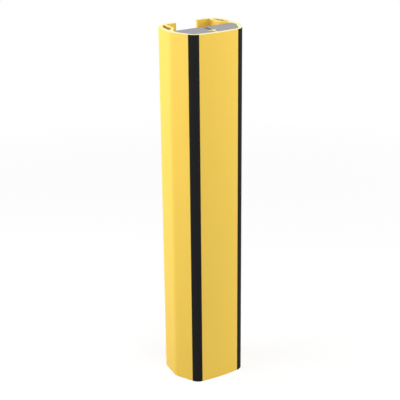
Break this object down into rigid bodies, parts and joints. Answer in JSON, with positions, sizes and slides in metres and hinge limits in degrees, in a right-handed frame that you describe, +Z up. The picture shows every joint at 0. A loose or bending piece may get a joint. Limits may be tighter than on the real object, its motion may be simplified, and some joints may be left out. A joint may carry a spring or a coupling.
{
  "type": "rack column guard",
  "caption": "Clip-on rack column guard: a tall yellow plastic extrusion with a bowed front, flared sides, hooked rear flanges, black corner stripes and a grey foam lining.",
  "frame": {"origin": "centre of the guard's footprint box, on the surface it stands on", "axes": "+Z up along the extrusion, +Y from the bowed front face towards the rear slot, X across the width"},
  "size_m": [0.1278, 0.103, 0.6],
  "materials": {
    "yellow_plastic": "satin extruded plastic",
    "black_plastic": "satin black strip",
    "grey_foam": "cut closed-cell foam"
  },
  "bodies": {
    "root": {"shell": "yellow_plastic", "stripe_left": "black_plastic", "stripe_right": "black_plastic", "foam_left": "grey_foam", "foam_right": "grey_foam"}
  },
  "joints": []
}
